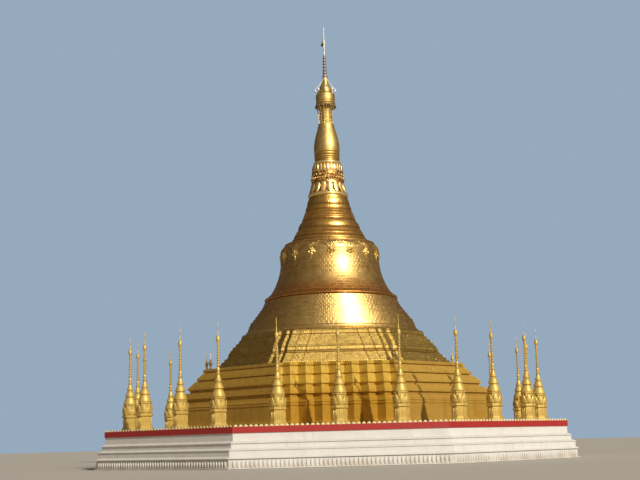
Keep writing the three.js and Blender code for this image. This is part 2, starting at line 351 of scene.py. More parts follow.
def zigzag(reaches):
    """The terraces' plan. In axes turned by 45 degrees it is a stair of rectangles: step s reaches
    (r + s p) / sqrt 2 one way and (r - s p) / sqrt 2 the other, for tooth pitch p, and no further
    than the diagonal face."""
    half_root = math.sqrt(0.5)
    r = reaches[:, None]
    s = np.arange(TEETH_EACH_SIDE + 1, -TEETH_EACH_SIDE - 2, -1) * TOOTH_PITCH
    wide = np.minimum((r + s) * half_root, r - DIAGONAL_INSET)
    tall = np.minimum((r - s) * half_root, r - DIAGONAL_INSET)
    stair = np.empty((len(reaches), 2 * len(s) - 1, 2))
    stair[:, 0::2] = np.stack([wide, tall], -1)
    stair[:, 1::2] = np.stack([wide[:, 1:], tall[:, :-1]], -1)
    x = (stair[..., 0] - stair[..., 1]) * -half_root
    y = (stair[..., 0] + stair[..., 1]) * -half_root
    return quarters(np.stack([x, y], -1))


def stepped_octagon(reaches):
    """The octagonal band's plan: a front panel in three shallow steps with a groove at each, then a
    corner that steps back between lines parallel to the panel and to the diagonal face."""
    r = reaches[:, None]
    diagonal = r * math.sqrt(0.5) * (1 + FACE_HALF_WIDTH_RATIO) + CORNER_OUTSETS
    front = r - CORNER_SETBACKS
    outer = np.stack([math.sqrt(2) * diagonal - front, -front], -1)
    inner = np.stack([math.sqrt(2) * diagonal[:, :-1] - front[:, 1:], -front[:, 1:]], -1)
    edge = outer[:, 0, 0]
    panel = []
    half = PANEL_GROOVE_HALF_WIDTH
    for (inset, depth), (_, next_depth) in zip(PANEL_STEPS, PANEL_STEPS[1:] + [(0, CORNER_SETBACKS[0])]):
        groove = next_depth + PANEL_GROOVE_DEPTH
        for aside, back in ((-half, depth), (-half, groove), (half, groove), (half, next_depth)):
            panel.append(np.stack([edge - inset + aside, -(reaches - back)], -1))
    corner = [outer[:, 0], inner[:, 0], outer[:, 1], inner[:, 1], outer[:, 2]]
    right = np.stack(panel + corner, 1)
    return quarters(np.concatenate([right[:, ::-1] * np.array([-1, 1]), right], 1))


def tube(path, radius, sides, closed=False, away=None):
    """A round bar along a path: at each point a ring of the given radius, square to the path."""
    path = np.asarray(path, float)
    ahead = np.roll(path, -1, 0) - np.roll(path, 1, 0) if closed else np.gradient(path, axis=0)
    ahead /= np.linalg.norm(ahead, axis=1, keepdims=True)
    away = path * [1, 1, 0] if away is None else np.broadcast_to(np.asarray(away, float), path.shape)
    side = np.cross(ahead, away)
    side /= np.linalg.norm(side, axis=1, keepdims=True)
    other = np.cross(side, ahead)
    angle = evenly(sides)[:, None]
    points = path[:, None] + radius * (side[:, None] * np.cos(angle) + other[:, None] * np.sin(angle))
    if closed:
        points = np.concatenate([points, points[:1]])
        return welded(woven(points[:, ::-1], ends=False))
    return woven(points[:, ::-1])


def hoop(radius, level, thick, sides):
    """A round bar bent into a ring about the axis."""
    angle = evenly(HOOP_SIDES)
    path = np.stack([radius * np.cos(angle), radius * np.sin(angle), np.full(HOOP_SIDES, level)], -1)
    return tube(path, thick, sides, closed=True)


def bead(radius, sides=8, rows=6):
    """A ball: radius sin a out and -radius cos a up, for a from nearly 0 to nearly pi."""
    a = np.linspace(0.12, np.pi - 0.12, rows)
    return turned(np.stack([radius * np.sin(a), -radius * np.cos(a)], -1), sides)


def leaf(length, width, thickness, lean, rows=8, sides=8, point=0.7):
    """A closed petal that stands up from the origin and faces +X: at share s of its length it is
    width sin(pi (0.09 + 0.86 s)^0.8)^point across, and its middle line leans out by lean s^2."""
    s = np.linspace(0.0, 1.0, rows)[:, None]
    half = 0.5 * width * np.sin(np.pi * (0.09 + 0.86 * s) ** 0.8) ** point
    angle = evenly(sides)[None, :]
    out = lean * s ** 2 + 0.5 * thickness * np.sin(angle) * np.sin(np.pi * (0.15 + 0.75 * s))
    points = np.stack([out, -half * np.cos(angle), np.broadcast_to(length * s, out.shape)], -1)
    return woven(points)


def rosette(radius, proud, lobes, sides=40):
    """A lobed boss on a wall that faces +X: its rim lies at radius (0.78 + 0.22 |cos(lobes a / 2)|)
    and it stands proud (1 - q^2)(0.55 + 0.45 |cos|) at share q of the way to the rim."""
    angle = evenly(sides)[None, :]
    lobe = np.abs(np.cos(lobes * angle / 2))
    q = np.concatenate([[0.02, 1.0], np.linspace(1.0, 0.06, 5)])[:, None]
    back = np.arange(len(q))[:, None] < 2
    rim = radius * q * (0.78 + 0.22 * lobe)
    rise = np.where(back, -0.04, proud * (1 - q ** 2) * (0.55 + 0.45 * lobe) + 0.01)
    return woven(np.stack([rise, rim * np.cos(angle), rim * np.sin(angle)], -1))


def bell_drop(size):
    """A small hanging bell with its stem and clapper, top at the origin."""
    profile = outline(
        (0.10, -1.0), (0.40, -1.0), (0.36, -0.80), (0.26, -0.52, 0.12), (0.20, -0.36, 0.2), (0.06, -0.30),
        (0.06, 0.0), steps=4) * size
    clapper = bead(0.10 * size, 6, 4).moved(0.0, 0.0, -1.08 * size)
    return joined(turned(profile, DROP_SIDES), clapper)


def put(name, data):
    """Adds an object to the scene."""
    held = bpy.data.objects.new(name, data)
    bpy.context.scene.collection.objects.link(held)
    return held


def add_piece(name, shell, finish, stands_for=(), body="stupa"):
    """Puts a surface into the scene as one piece that rides on a body."""
    mesh = bpy.data.meshes.new(name)
    corners = shell.faces >= 0
    sizes = corners.sum(1)
    mesh.vertices.add(len(shell.points))
    mesh.vertices.foreach_set("co", shell.points.astype(np.float32).ravel())
    mesh.loops.add(int(sizes.sum()))
    mesh.loops.foreach_set("vertex_index", shell.faces[corners].astype(np.int32))
    mesh.polygons.add(len(sizes))
    mesh.polygons.foreach_set("loop_start", np.concatenate([[0], np.cumsum(sizes)[:-1]]).astype(np.int32))
    mesh.update(calc_edges=True)
    pattern = mesh.uv_layers.new(name="plates")
    pattern.data.foreach_set("uv", shell.pattern[corners].astype(np.float32).ravel())
    mesh.polygons.foreach_set("use_smooth", np.ones(len(sizes), bool))
    mesh.set_sharp_from_angle(angle=SHARP_ANGLE)
    mesh.validate()
    mesh.materials.append(finish)
    piece = put(name, mesh)
    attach(piece, body)
    if stands_for:
        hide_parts(*stands_for)


def turned_piece(name, profile, finish, node, sides=SPIRE_SIDES):
    """A turned piece in the place of a node."""
    add_piece(name, turned(profile, sides), finish, [node])


def finish_node(node, material):
    """Gives a node of the frame its finish."""
    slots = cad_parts[node].data.materials
    slots.clear()
    slots.append(material)


class Reading:
    """A value or colour that a node gives. An expression on values adds its Math nodes."""

    def __init__(self, nodes, origin, socket):
        self.nodes = nodes
        self.origin = origin
        self.socket = socket

    def part(self, name):
        """Another output of the same node."""
        return Reading(self.nodes, self.origin, self.origin.outputs[name])

    def math(self, operation, *others):
        return self.nodes.node("ShaderNodeMath", {"operation": operation}, [self, *others])

    def __add__(self, other):
        return self.math("ADD", other)

    __radd__ = __add__

    def __mul__(self, other):
        return self.math("MULTIPLY", other)

    __rmul__ = __mul__

    def __sub__(self, other):
        return self.math("SUBTRACT", other)

    def __rsub__(self, other):
        return self.nodes.node("ShaderNodeMath", {"operation": "SUBTRACT"}, [other, self])

    def __truediv__(self, other):
        return self.math("DIVIDE", other)


class Nodes:
    """The nodes of a material or of the light around the scene."""

    def __init__(self, tree):
        self.tree = tree

    def node(self, kind, settings=None, inputs=(), output=0):
        """Adds a node: its settings first, then a value or a reading for each of its sockets."""
        made = self.tree.nodes.new(kind)
        for key, value in (settings or {}).items():
            if key == "stops":
                self.set_stops(made.color_ramp.elements, value)
            else:
                setattr(made, key, value)
        pairs = inputs.items() if isinstance(inputs, dict) else enumerate(inputs)
        for key, value in pairs:
            self.join(made.inputs[key], value)
        return Reading(self, made, made.outputs[output] if made.outputs else None)

    def set_stops(self, elements, stops):
        """Gives a ramp its (position, colour) stops, from low to high."""
        elements[0].position, elements[-1].position = stops[0][0], stops[-1][0]
        for position, colour in stops[1:-1]:
            elements.new(position)
        for element, (position, colour) in zip(elements, stops):
            element.color = (*colour, 1.0)

    def join(self, socket, value):
        if isinstance(value, Reading):
            self.tree.links.new(value.socket, socket)
        elif isinstance(value, tuple) and len(value) == 3 and len(socket.default_value) == 4:
            socket.default_value = (*value, 1.0)
        else:
            socket.default_value = value

    def mixed(self, factor, first, second, how="MIX"):
        """A colour between two others."""
        settings = {"data_type": "RGBA", "blend_type": how}
        return self.node("ShaderNodeMix", settings, {0: factor, 6: first, 7: second}, 2)

    def eased(self, value, low, high, to_low=0.0, to_high=1.0):
        """A smooth step from to_low to to_high while value goes from low to high."""
        settings = {"interpolation_type": "SMOOTHSTEP"}
        return self.node("ShaderNodeMapRange", settings, [value, low, high, to_low, to_high])

    def place(self, kind="Object"):
        return self.node("ShaderNodeTexCoord").part(kind)

    def scaled_place(self, scale):
        return self.node("ShaderNodeMapping", None, {"Vector": self.place(), "Scale": scale})

    def split(self, vector):
        """The X, Y and Z of a vector, as parts."""
        return self.node("ShaderNodeSeparateXYZ", None, [vector])

    def noise(self, scale, detail=3.0, stretch=(1.0, 1.0, 1.0), roughness=0.55):
        place = self.scaled_place(stretch)
        inputs = {"Vector": place, "Scale": scale, "Detail": detail, "Roughness": roughness}
        return self.node("ShaderNodeTexNoise", None, inputs)

    def chance(self, column, row):
        """A number by chance for each cell of a pattern; its part Color holds three more."""
        cell = self.node("ShaderNodeCombineXYZ", None, [column, row, 0.0])
        return self.node("ShaderNodeTexWhiteNoise", {"noise_dimensions": "3D"}, [cell])


class Finish(Nodes):
    """A procedural material: one shader, whose sockets are set or fed by nodes."""

    def __init__(self, name, **sockets):
        self.material = bpy.data.materials.new(name)
        self.material.use_nodes = True
        super().__init__(self.material.node_tree)
        self.shader = self.tree.nodes["Principled BSDF"]
        self.feed(**sockets)

    def feed(self, **sockets):
        """Sets or feeds the shader's sockets; an underscore in a name stands for a space."""
        for key, value in sockets.items():
            self.join(self.shader.inputs[key.replace("_", " ")], value)

    def raise_by(self, height):
        """Bumps the surface by a height in metres."""
        bump = self.node("ShaderNodeBump", None, {"Height": height, "Strength": 1.0, "Distance": 1.0})
        self.feed(Normal=bump)


def nearest_edge(share):
    """How far a place between 0 and 1 lies from the nearer of the two."""
    return share.math("MINIMUM", 1.0 - share)


def plates(finish):
    """Reads the pattern coordinate as courses of plates, each course half a plate along from the
    last. Gives how near a point is to a seam, two numbers by chance for the plate and the point's
    place on the plate, from -0.5 to 0.5 each way."""
    spot = finish.split(finish.node("ShaderNodeUVMap", {"uv_map": "plates"}))
    u, v = spot.part("X"), spot.part("Y")
    course = v.math("FLOOR")
    slid = u + course * 0.5
    column = slid.math("FLOOR")
    across, up = slid - column, v - course
    clear = (nearest_edge(across) / SEAM_SHARE_ACROSS).math("MINIMUM", nearest_edge(up) / SEAM_SHARE_UP)
    seam = finish.eased(clear, 0.0, 1.0, 1.0, 0.0)
    colour = finish.node("ShaderNodeSeparateColor", None, [finish.chance(column, course).part("Color")])
    return seam, colour.part("Red"), colour.part("Green"), across - 0.5, up - 0.5


def gold(name, bright, deep, roughness, metallic=1.0, seam_depth=0.002, seam_shade=0.10, tilt=0.02,
         tone=0.08, streak=0.4, rust_and_shade_levels=None, rust_and_shade_colour=(0.62, 0.25, 0.06), slant_shade_colour=None):
    """Gilding over masonry: plates that lean a little each their own way, darker seams, streaks of
    grime that run down, and a slow unevenness. Between two given levels a darker, redder tone fades
    out upwards: partly rust, partly painted shade and reflected light low down. A given colour darkens
    the four slanting faces, where 2 |x y| / (x x + y y) is over 0.69, as painted shade, and most of
    the lower tone fades there."""
    finish = Finish(name, Metallic=metallic)
    seam, chance, second, across, up = plates(finish)
    streaks = finish.noise(1.0, 4.0, (2.2, 2.2, 0.28), 0.62)
    grime = finish.eased(streaks, 0.42, 0.72) * streak
    mottle = finish.noise(3.4, 5.0)
    colour = finish.mixed(grime, bright, deep)
    spot = finish.split(finish.place())
    # A darker, redder tone low down between the given levels: partly rust, partly painted shade and reflected
    # light.
    rust_and_shade = finish.eased(spot.part("Z"), *rust_and_shade_levels, 0.75, 0.0) if rust_and_shade_levels else 0.0
    # Painted shade: the four slanting faces are darkened and reddened by a tint, and lose most of the lower
    # tone.
    if slant_shade_colour:
        x, y = spot.part("X"), spot.part("Y")
        slant = finish.eased((x * y).math("ABSOLUTE") * 2.0 / (x * x + y * y), 0.68, 0.70)
        rust_and_shade = rust_and_shade * (1.0 - slant * 0.75)
        slant_shade = finish.mixed(slant, (1.0, 1.0, 1.0), slant_shade_colour)
        colour = finish.mixed(1.0, colour, slant_shade, "MULTIPLY")
        rust_and_shade_colour = finish.mixed(1.0, rust_and_shade_colour, slant_shade, "MULTIPLY")
    if rust_and_shade_levels:
        colour = finish.mixed(rust_and_shade, colour, rust_and_shade_colour)
    plate_tone = chance * tone + (1.0 - tone / 2)
    shade = plate_tone * (1.0 - seam * seam_shade) * (mottle * 0.24 + 0.88)
    grey = finish.node("ShaderNodeCombineColor", None, [shade, shade, shade])
    finish.feed(Base_Color=finish.mixed(1.0, colour, grey, "MULTIPLY"))
    finish.feed(Roughness=second * 0.10 + mottle * 0.12 + grime * 0.12 + (roughness - 0.11))
    slope = (chance - 0.5) * across * (PLATE_WIDTH * tilt) + (second - 0.5) * up * (COURSE_HEIGHT * tilt)
    wave = finish.noise(0.8, 2.0) * 0.006
    fine = finish.noise(9.0, 3.0) * 0.0010
    finish.raise_by(slope + wave + fine - seam * seam_depth)
    return finish.material


def relief_gold(name, bright, deep):
    """Gilded relief: small raised scrolls in gold over a darker reddish-brown ground."""
    finish = Finish(name, Metallic=1.0)
    scrolls = finish.eased(finish.noise(3.6, 3.0, (1.0, 1.0, 1.3)), 0.46, 0.56)
    mottle = finish.noise(11.0, 3.0)
    colour = finish.mixed(scrolls * (mottle * 0.5 + 0.6), deep, bright)
    finish.feed(Base_Color=colour, Roughness=mottle * 0.2 + 0.32)
    finish.raise_by(scrolls * 0.04 + mottle * 0.012)
    return finish.material


def limewash():
    """Lime wash on plaster: brush marks, damp and dust towards the ground, thin runs of grime."""
    finish = Finish("limewash", Metallic=0.0)
    level = finish.split(finish.place()).part("Z")
    patches = finish.noise(0.9, 5.0)
    runs = finish.noise(1.4, 4.0, (2.4, 2.4, 0.2), 0.6)
    dust = finish.eased(level, 0.75, 0.0) * finish.eased(patches, 0.25, 0.7)
    worn = finish.eased(patches, 0.35, 0.75) * 0.35
    colour = finish.mixed(worn, (0.62, 0.60, 0.56), (0.50, 0.47, 0.42))
    colour = finish.mixed(finish.eased(runs, 0.55, 0.8) * 0.45, colour, (0.37, 0.34, 0.30))
    colour = finish.mixed(dust * 0.6, colour, (0.40, 0.32, 0.24))
    finish.feed(Base_Color=colour, Roughness=patches * 0.2 + 0.68)
    finish.raise_by(finish.noise(5.0, 5.0) * 0.02 + patches * 0.03)
    return finish.material


def red_paint():
    """Red gloss paint on plaster, faded and dusty in patches."""
    finish = Finish("red_paint", Metallic=0.0)
    patches = finish.noise(1.6, 5.0)
    colour = finish.mixed(finish.eased(patches, 0.4, 0.75), (0.35, 0.018, 0.016), (0.30, 0.016, 0.012))
    finish.feed(Base_Color=colour, Roughness=patches * 0.25 + 0.32)
    finish.raise_by(finish.noise(6.0, 4.0) * 0.012)
    return finish.material


def floor_tiles():
    """Square tiles with darker joints, each a little lighter or darker."""
    finish = Finish("floor_tiles", Metallic=0.0)
    spot = finish.split(finish.scaled_place((1 / FLOOR_TILE, 1 / FLOOR_TILE, 1.0)))
    x, y = spot.part("X"), spot.part("Y")
    column, row = x.math("FLOOR"), y.math("FLOOR")
    near = nearest_edge(x - column).math("MINIMUM", nearest_edge(y - row))
    joint = finish.eased(near, 0.0, 0.05, 1.0, 0.0)
    chance = finish.chance(column, row)
    colour = finish.mixed(chance, (0.52, 0.42, 0.31), (0.60, 0.52, 0.42))
    finish.feed(Base_Color=finish.mixed(joint, colour, (0.25, 0.21, 0.17)), Roughness=chance * 0.1 + 0.45)
    finish.raise_by(joint * -0.004 + finish.noise(8.0) * 0.002)
    return finish.material


def worn_metal(name, colour, roughness, metallic):
    """Plain or painted metal with small dents and dull patches."""
    finish = Finish(name, Metallic=metallic)
    patches = finish.noise(6.0, 4.0)
    finish.feed(Base_Color=finish.mixed(patches, colour, tuple(c * 0.7 for c in colour)))
    finish.feed(Roughness=patches * 0.25 + roughness)
    finish.raise_by(finish.noise(14.0) * 0.004)
    return finish.material


PLATED = {"seam_depth": 0.003, "seam_shade": 0.22, "tilt": 0.006, "tone": 0.12}
GILDED_PLATES = gold("gilded_plates", (0.68, 0.44, 0.15), (0.42, 0.23, 0.08), 0.37, **PLATED)
# The bell's foot, up to 15.6 m, is darker and redder: partly rust, partly painted shade and reflected light
# in the hollow over the rim.
GILDED_BELL = gold("gilded_bell", (0.68, 0.44, 0.15), (0.42, 0.23, 0.08), 0.365,
                   rust_and_shade_levels=(14.3, 15.6), **PLATED)
GILDED_PANELS = gold("gilded_panels", (0.54, 0.365, 0.10), (0.38, 0.21, 0.055), 0.40,
                     seam_depth=0.004, seam_shade=0.22, tilt=0.03, tone=0.22, streak=0.35)
# Below 6.5 m the terraces turn darker and redder, partly their own tone, partly painted shade; the four
# slanting faces are darkened as painted shade.
GOLD_PAINT = gold("gold_paint", (0.60, 0.40, 0.062), (0.40, 0.20, 0.02), 0.50, 0.30,
                  seam_depth=0.004, tone=0.06, streak=0.5, rust_and_shade_levels=(5.0, 6.5),
                  rust_and_shade_colour=(0.40, 0.20, 0.01), slant_shade_colour=(0.77, 0.70, 0.74))
STUPA_PAINT = gold("small_stupa_paint", (0.63, 0.45, 0.12), (0.42, 0.24, 0.04), 0.46, 0.45,
                   seam_shade=0.05, tilt=0.0, tone=0.04)
RING_GOLD = gold("ring_gold", (0.68, 0.405, 0.11), (0.38, 0.15, 0.035), 0.35,
                 tilt=0.01, tone=0.06, streak=0.6)
CROWN_GOLD = gold("crown_gold", (0.78, 0.56, 0.18), (0.46, 0.25, 0.07), 0.40)
# The bud's foot rings, below 27.4 m, are darker and redder: partly rust, partly painted shade under the bud's
# belly.
BUD_GOLD = gold("bud_gold", (0.62, 0.44, 0.155), (0.36, 0.20, 0.06), 0.50, seam_shade=0.12,
                rust_and_shade_levels=(26.9, 27.4), rust_and_shade_colour=(0.46, 0.27, 0.06))
COLLAR_GOLD = gold("collar_gold", (0.62, 0.42, 0.14), (0.40, 0.22, 0.07), 0.46, tone=0.10)
# The rim's dark reddish gold is painted shade and reflected light under the bell's flaring foot.
RIM_GOLD_IN_SHADE = gold("rim_gold_in_shade", (0.52, 0.25, 0.06), (0.26, 0.09, 0.03), 0.40,
                   tilt=0.01, tone=0.06, streak=0.6)
PALE_GILT = gold("pale_gilt", (0.84, 0.63, 0.25), (0.62, 0.38, 0.10), 0.40, 0.85,
                 seam_shade=0.05, tilt=0.01, tone=0.06)
PETAL_GOLD = gold("petal_gold", (0.80, 0.57, 0.23), (0.52, 0.28, 0.09), 0.40, 0.85,
                  seam_shade=0.05, tilt=0.01, tone=0.06, streak=0.3)
RELIEF_GOLD = relief_gold("relief_gold", (0.80, 0.55, 0.19), (0.38, 0.16, 0.06))
# Dark bronze; on the vane's pennant the darkness is painted shade.
DARK_BRONZE_AND_SHADE = worn_metal("dark_bronze_and_shade", (0.22, 0.14, 0.06), 0.40, 1.0)
# Painted shade: the corner finials' bulbs are darkened to look shaded.
SHADE_DARKENED_BRASS = worn_metal("shade_darkened_brass", (0.34, 0.24, 0.09), 0.44, 0.8)
ROSE_METAL = worn_metal("rose_metal", (0.46, 0.35, 0.30), 0.40, 1.0)
# Painted light: cream stands in for the vane's sleeve as it looks in sunlight.
PAINTED_LIT_METAL = worn_metal("painted_lit_metal", (0.84, 0.76, 0.62), 0.42, 0.2)
SILVERED = worn_metal("silvered", (0.86, 0.84, 0.80), 0.34, 0.25)
PALE_PETAL = worn_metal("pale_petal", (0.80, 0.66, 0.38), 0.55, 0.0)
LIMEWASH = limewash()
RED_PAINT = red_paint()
FLOOR_TILES = floor_tiles()


def plinth():
    """Lime-washed walls and the red band, with a row of upright white posts round the foot, and
    small pale petal tips and red points on the band's edge."""
    for node in ("plinth_foot", "plinth_lower_course", "plinth_upper_course"):
        finish_node(node, LIMEWASH)
    finish_node("red_band", RED_PAINT)
    finish_node("platform_floor", FLOOR_TILES)
    post = leaf(0.50, 0.20, 0.16, 0.0, rows=6)
    posts = row_on_faces(post, reach("plinth_foot") - 0.13, bottom("plinth_foot") + 0.12, POST_PITCH, 0.15)
    add_piece("plinth_foot_posts", posts, LIMEWASH)
    edge, head = reach("red_band"), top("red_band")
    petals = row_on_faces(leaf(0.20, 0.27, 0.07, 0.02, rows=5), edge - 0.05, head - 0.05, PETAL_TIP_PITCH)
    add_piece("red_band_petal_tips", petals, PALE_PETAL)
    point = leaf(0.12, 0.09, 0.06, 0.0, rows=4, sides=6).moved(0.0, PETAL_TIP_PITCH / 2, 0.0)
    points = row_on_faces(point, edge - 0.04, head - 0.03, PETAL_TIP_PITCH, 0.2)
    add_piece("red_band_points", points, RED_PAINT)


def terraces():
    """The base wall and three tiers on the zigzag plan: each tier is a slope laid in fine courses
    that overhangs the groove under it, and the uppermost ends in a lip."""
    wall = by_share(
        "gold_base", (0.0, 0.0), (0.0, 0.07), (0.05, 0.08), (0.05, 0.13), (0.20, 0.24, -0.2), (0.25, 0.25),
        (0.25, 0.70), (0.20, 0.71), (0.18, 0.76, 0.2), (0.26, 0.78), (0.26, 0.80), (0.20, 0.82),
        (0.40, 0.90, 0.04), (0.56, 0.905), (0.65, 1.0))
    add_piece("gold_base_wall", swept(zigzag, wall), GOLD_PAINT, ["gold_base"])
    tiers = {
        "terrace_lower": ([(0.25, 0.0), (0.25, 0.23), (0.03, 0.26)], [(0.0, 0.30), (0.62, 0.81)],
                          [(0.64, 0.82), (0.88, 0.83), (0.88, 1.0)]),
        "terrace_middle": ([(0.18, 0.0), (0.18, 0.08), (0.0, 0.10)], [(0.0, 0.17), (0.58, 0.93)],
                           [(0.59, 0.94), (0.80, 0.95), (0.80, 1.0)]),
        "terrace_upper": ([(0.15, 0.0), (0.15, 0.05), (0.0, 0.07)], [(0.0, 0.13), (0.60, 0.68)],
                          [(0.69, 0.69), (0.69, 0.76), (0.56, 0.77), (0.55, 0.80), (0.55, 0.97),
                           (0.58, 1.0)]),
    }
    for node, (foot, slope, head) in tiers.items():
        courses = coursed(by_share(node, *slope), TIER_COURSE, TIER_LEAN)
        profile = np.concatenate([by_share(node, *foot), courses, by_share(node, *head)])
        add_piece(f"{node}_tier", swept(zigzag, profile), GOLD_PAINT, [node])


def octagonal_band():
    """Lower slope, moulding and upper slope on the stepped plan, both slopes laid in courses."""
    low_slope = coursed(by_share("octagon_lower", (0.0, 0.0), (0.83, 1.0)), lean=PANEL_LEAN)
    moulding = by_share(
        "octagon_moulding", (0.07, 0.0), (0.07, 0.05), (0.0, 0.07), (0.02, 0.22, 0.3), (0.14, 0.24),
        (0.14, 0.30), (0.06, 0.33), (0.07, 0.36), (0.12, 0.66), (0.22, 0.69), (0.22, 0.74), (0.19, 0.76),
        (0.26, 0.97), (0.33, 1.0))
    high_slope = coursed(by_rise("octagon_upper", (0.0, 0.0), (0.80, height("octagon_upper") - 0.48)),
                         lean=PANEL_LEAN)
    crest = by_share("octagon_upper", (0.86, 0.645), (0.86, 0.69), (0.78, 0.70), (0.78, 0.74),
                     (0.90, 0.96, 0.04), (0.98, 1.0))
    for name, profile, node in (
        ("octagon_lower_slope", low_slope, "octagon_lower"),
        ("octagon_middle_moulding", moulding, "octagon_moulding"),
        ("octagon_upper_slope", np.concatenate([high_slope, crest]), "octagon_upper"),
    ):
        add_piece(name, swept(stepped_octagon, profile), GILDED_PANELS, [node])


def octagon_dentils():
    """A row of small points along the foot of each front panel, set back where the panel steps."""
    edge = reach("octagon_lower")
    half_panel = edge * FACE_HALF_WIDTH_RATIO + CORNER_SETBACKS[0] - DENTIL_END_GAP
    across = spaced(2 * half_panel, DENTIL_PITCH)
    inside = [abs(across) < half_panel - (inset - DENTIL_END_GAP) for inset, depth in PANEL_STEPS]
    setback = np.select(inside, [depth for inset, depth in PANEL_STEPS], CORNER_SETBACKS[0])
    dentil = leaf(0.11, 0.14, 0.03, 0.0, rows=5, sides=6)
    row = row_of(dentil, edge - setback - 0.01, across, bottom("octagon_lower") + 0.02)
    add_piece("octagon_foot_dentils", around(row, FOUR_FACES), GILDED_PANELS)


def with_ridges(profile, ridges):
    """Adds raised lines to a smooth profile: each is (level, height of the line, how far proud)."""
    for level, tall, proud in ridges:
        across_it = level + tall * np.array([-0.75, -0.5, -0.25, 0.25, 0.5, 0.75])
        radius = np.interp(across_it, profile[:, 1], profile[:, 0]) + proud * np.array([0, 0, 1, 1, 0, 0])
        kept = profile[(profile[:, 1] < across_it[0]) | (profile[:, 1] > across_it[-1])]
        profile = np.concatenate([kept, np.stack([radius, across_it], -1)])
        profile = profile[np.argsort(profile[:, 1], kind="stable")]
    return profile


def bell_profile():
    """The bell's flare: radius = top + (foot - top)(1 - s)^2.4 at share s of its height."""
    s = np.linspace(0, 1, 30)
    wide, narrow = reach("bell_body"), reach("bell_shoulder")
    level = bottom("bell_body") + height("bell_body") * s
    return np.stack([narrow + (wide - narrow) * (1 - s) ** BELL_FLARE, level], -1)


def shoulder_profile():
    """The shoulder's quarter round: radius = top + (foot - top)(1 - s^2.5) at share s."""
    s = np.linspace(0, 1, 16)
    wide, narrow = reach("bell_shoulder"), reach("ringed_cone") + 0.08
    level = bottom("bell_shoulder") + height("bell_shoulder") * s
    return np.stack([narrow + (wide - narrow) * (1 - s ** SHOULDER_ROUND), level], -1)


def wall_radius(level):
    """The bell's own radius at a level, over bell and shoulder."""
    profile = np.concatenate([bell_profile(), shoulder_profile()])
    return np.interp(level, profile[:, 1], profile[:, 0])


def bell():
    """Ring, round band, rim, bell and shoulder, all turned. The round band is laid in courses."""
    ring = by_share(
        "round_ring", (0.02, 0.0), (0.0, 0.10), (0.0, 0.70), (0.06, 0.93, 0.1), (0.11, 0.95), (0.13, 1.0))
    turned_piece("round_base_ring", ring, GILDED_PLATES, "round_ring", BELL_SIDES)
    band = coursed(by_share(
        "round_band", (0.0, 0.0), (0.16, 0.17), (0.48, 0.31), (0.98, 0.56), (1.29, 0.72), (1.60, 0.985)))
    band = np.concatenate([band, [[reach("round_band") - 1.63, top("round_band")]]])
    turned_piece("round_base_band", band, GILDED_PLATES, "round_band", BELL_SIDES)
    rim = by_share(
        "bell_rim", (0.16, 0.0), (0.15, 0.05), (0.03, 0.08), (0.0, 0.14), (0.01, 0.42, 0.18), (0.09, 0.47),
        (0.13, 0.52), (0.26, 0.74, -0.1), (0.28, 0.78), (0.40, 0.97, -0.08), (0.43, 1.0))
    turned_piece("bell_rim_moulding", rim, RIM_GOLD_IN_SHADE, "bell_rim", BELL_SIDES)
    foot = bottom("bell_body")
    lines = [(foot + 0.10, 0.10, 0.02), (foot + 1.88, 0.09, -0.035), (foot + 2.02, 0.09, -0.035),
             (foot + 2.36, 0.06, -0.02)]
    flare = with_ridges(bell_profile(), lines)
    turned_piece("bell", flare, GILDED_BELL, "bell_body", BELL_SIDES)
    crest = top("bell_shoulder")
    flank = shoulder_profile()
    flank = flank[flank[:, 1] < crest - 0.30]
    last, level = flank[-1]
    rings = outline(
        (last, level), (last - 0.07, level + 0.02), (last - 0.10, crest - 0.24), (last - 0.03, crest - 0.22),
        (last - 0.10, crest - 0.10, 0.25), (last - 0.24, crest - 0.06), (reach("ringed_cone") + 0.04, crest))
    shoulder = np.concatenate([flank, rings[1:]])
    turned_piece("shoulder", shoulder, GILDED_PLATES, "bell_shoulder", BELL_SIDES)


def shoulder_collar():
    """A collar of relief with an arched lower edge round the shoulder, and a double cord along the
    arches. An arch's edge lies at foot + rise (1 - |a|^2.6) for a from -1 to 1 between two
    pendants. The relief is a product of waves along and up the collar, and a wave along that
    grows finer upwards."""
    per_arch = 24
    columns = PENDANTS * per_arch
    a = (np.arange(columns) % per_arch) / per_arch * 2 - 1
    angle = evenly(columns) - np.pi / 2
    edge = SWAG_FOOT + (SWAG_CREST - SWAG_FOOT) * (1 - np.abs(a) ** SWAG_ARCH)
    share = np.linspace(0, 1, 13)[:, None]
    level = edge + (COLLAR_HEAD - edge) * share
    scrolls = 0.034 * np.cos(np.pi * 3 * a) * np.sin(np.pi * 4.5 * share)
    scrolls += 0.018 * np.cos(np.pi * 9 * a * share)
    radius = wall_radius(level) + 0.03 + scrolls * np.sin(np.pi * share) ** 0.5
    head = np.full((1, columns), COLLAR_HEAD)
    inside = np.full((1, columns), reach("ringed_cone") - 0.4)
    sunk_foot, sunk_head = wall_radius(edge)[None] - 0.03, wall_radius(head) - 0.03
    radius = np.concatenate([inside, sunk_foot, radius, sunk_head, inside])
    low_level, high_level = edge[None] - 0.01, head + 0.01
    level = np.concatenate([low_level, low_level, level, high_level, high_level])
    collar = woven(np.stack([radius * np.cos(angle), radius * np.sin(angle), level], -1))
    cords = []
    for drop, thick in ((0.0, 0.05), (0.13, 0.03)):
        line = edge - drop
        out = wall_radius(line) + 0.01
        path = np.stack([out * np.cos(angle), out * np.sin(angle), line], -1)
        cords.append(tube(path, thick, 6, closed=True))
    add_piece("shoulder_collar", joined(collar, *cords), COLLAR_GOLD)


